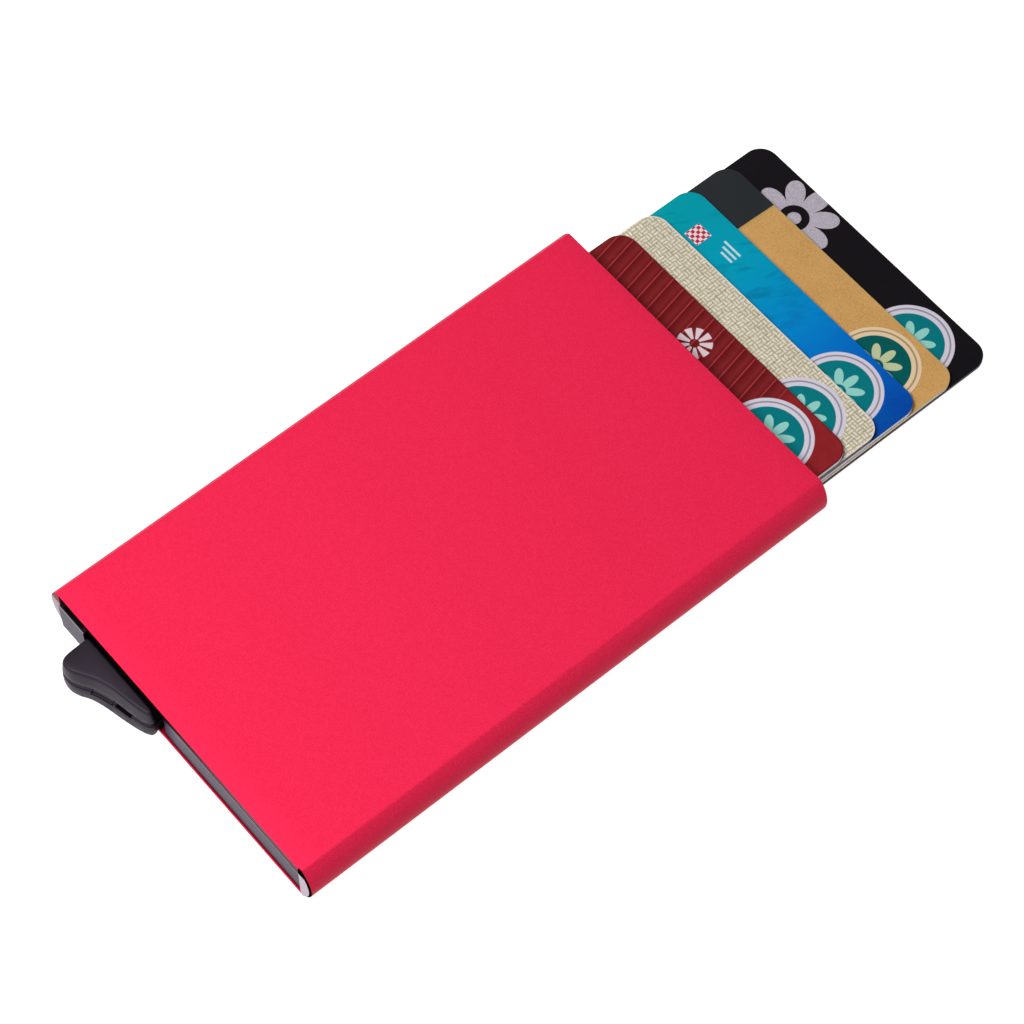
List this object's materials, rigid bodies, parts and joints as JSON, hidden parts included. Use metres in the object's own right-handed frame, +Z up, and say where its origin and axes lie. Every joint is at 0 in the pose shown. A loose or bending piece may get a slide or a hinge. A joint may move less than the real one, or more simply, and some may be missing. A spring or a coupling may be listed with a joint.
{
  "type": "pop up card holder",
  "caption": "Slim metal card case with rounded sides; a thumb lever in one end turns a stepped arm that fans payment cards out of the other end.",
  "frame": {"origin": "middle of the case's flat back face", "axes": "+X across the case away from the lever, +Y along the case towards the mouth that the cards leave by, +Z up through the stack of cards"},
  "size_m": [0.063, 0.1461, 0.0088],
  "materials": {
    "case_metal": "satin red anodised, bare where cut to length",
    "insert_plastic": "fine matte moulding",
    "lever_plastic": "matte black moulding",
    "steel": "bright drawn",
    "felt": "thin dense felt",
    "card_black": "printed laminate",
    "card_gold": "printed laminate",
    "card_teal": "printed laminate",
    "card_beige": "printed laminate",
    "card_red": "printed laminate",
    "chip_contacts": "plated contact plate"
  },
  "bodies": {
    "case": {"case_shell": "case_metal", "base_frame": "insert_plastic", "pivot_pin": "steel", "return_spring": "steel", "friction_pad_upper": "felt", "friction_pad_lower": "felt", "side_rail_left": "felt", "side_rail_right": "felt"},
    "lever": {"lever_lower": "lever_plastic", "lever_upper": "lever_plastic"},
    "black_card": {"card_black": "card_black", "chip_black": "chip_contacts"},
    "gold_card": {"card_gold": "card_gold", "chip_gold": "chip_contacts"},
    "teal_card": {"card_teal": "card_teal", "chip_teal": "chip_contacts"},
    "beige_card": {"card_beige": "card_beige", "chip_beige": "chip_contacts"},
    "red_card": {"card_red": "card_red", "chip_red": "chip_contacts"}
  },
  "joints": [
    {"name": "lever_turn", "type": "hinge", "parent": "case", "child": "lever", "pos_m": [-0.022, -0.0436, 0.0034], "axis": [0, 0, 1], "range_deg": [0, 65], "stiffness_Nm_per_rad": 0.02, "springref_deg": -28.65, "deforming": ["return_spring"]},
    {"name": "black_card_slide", "type": "slide", "parent": "case", "child": "black_card", "axis": [0, 1, 0], "range_m": [-0.0414, 0.0477]},
    {"name": "gold_card_slide", "type": "slide", "parent": "case", "child": "gold_card", "axis": [0, 1, 0], "range_m": [-0.034, 0.0551]},
    {"name": "teal_card_slide", "type": "slide", "parent": "case", "child": "teal_card", "axis": [0, 1, 0], "range_m": [-0.026, 0.0631]},
    {"name": "beige_card_slide", "type": "slide", "parent": "case", "child": "beige_card", "axis": [0, 1, 0], "range_m": [-0.0178, 0.0713]},
    {"name": "red_card_slide", "type": "slide", "parent": "case", "child": "red_card", "axis": [0, 1, 0], "range_m": [-0.0111, 0.078]}
  ]
}
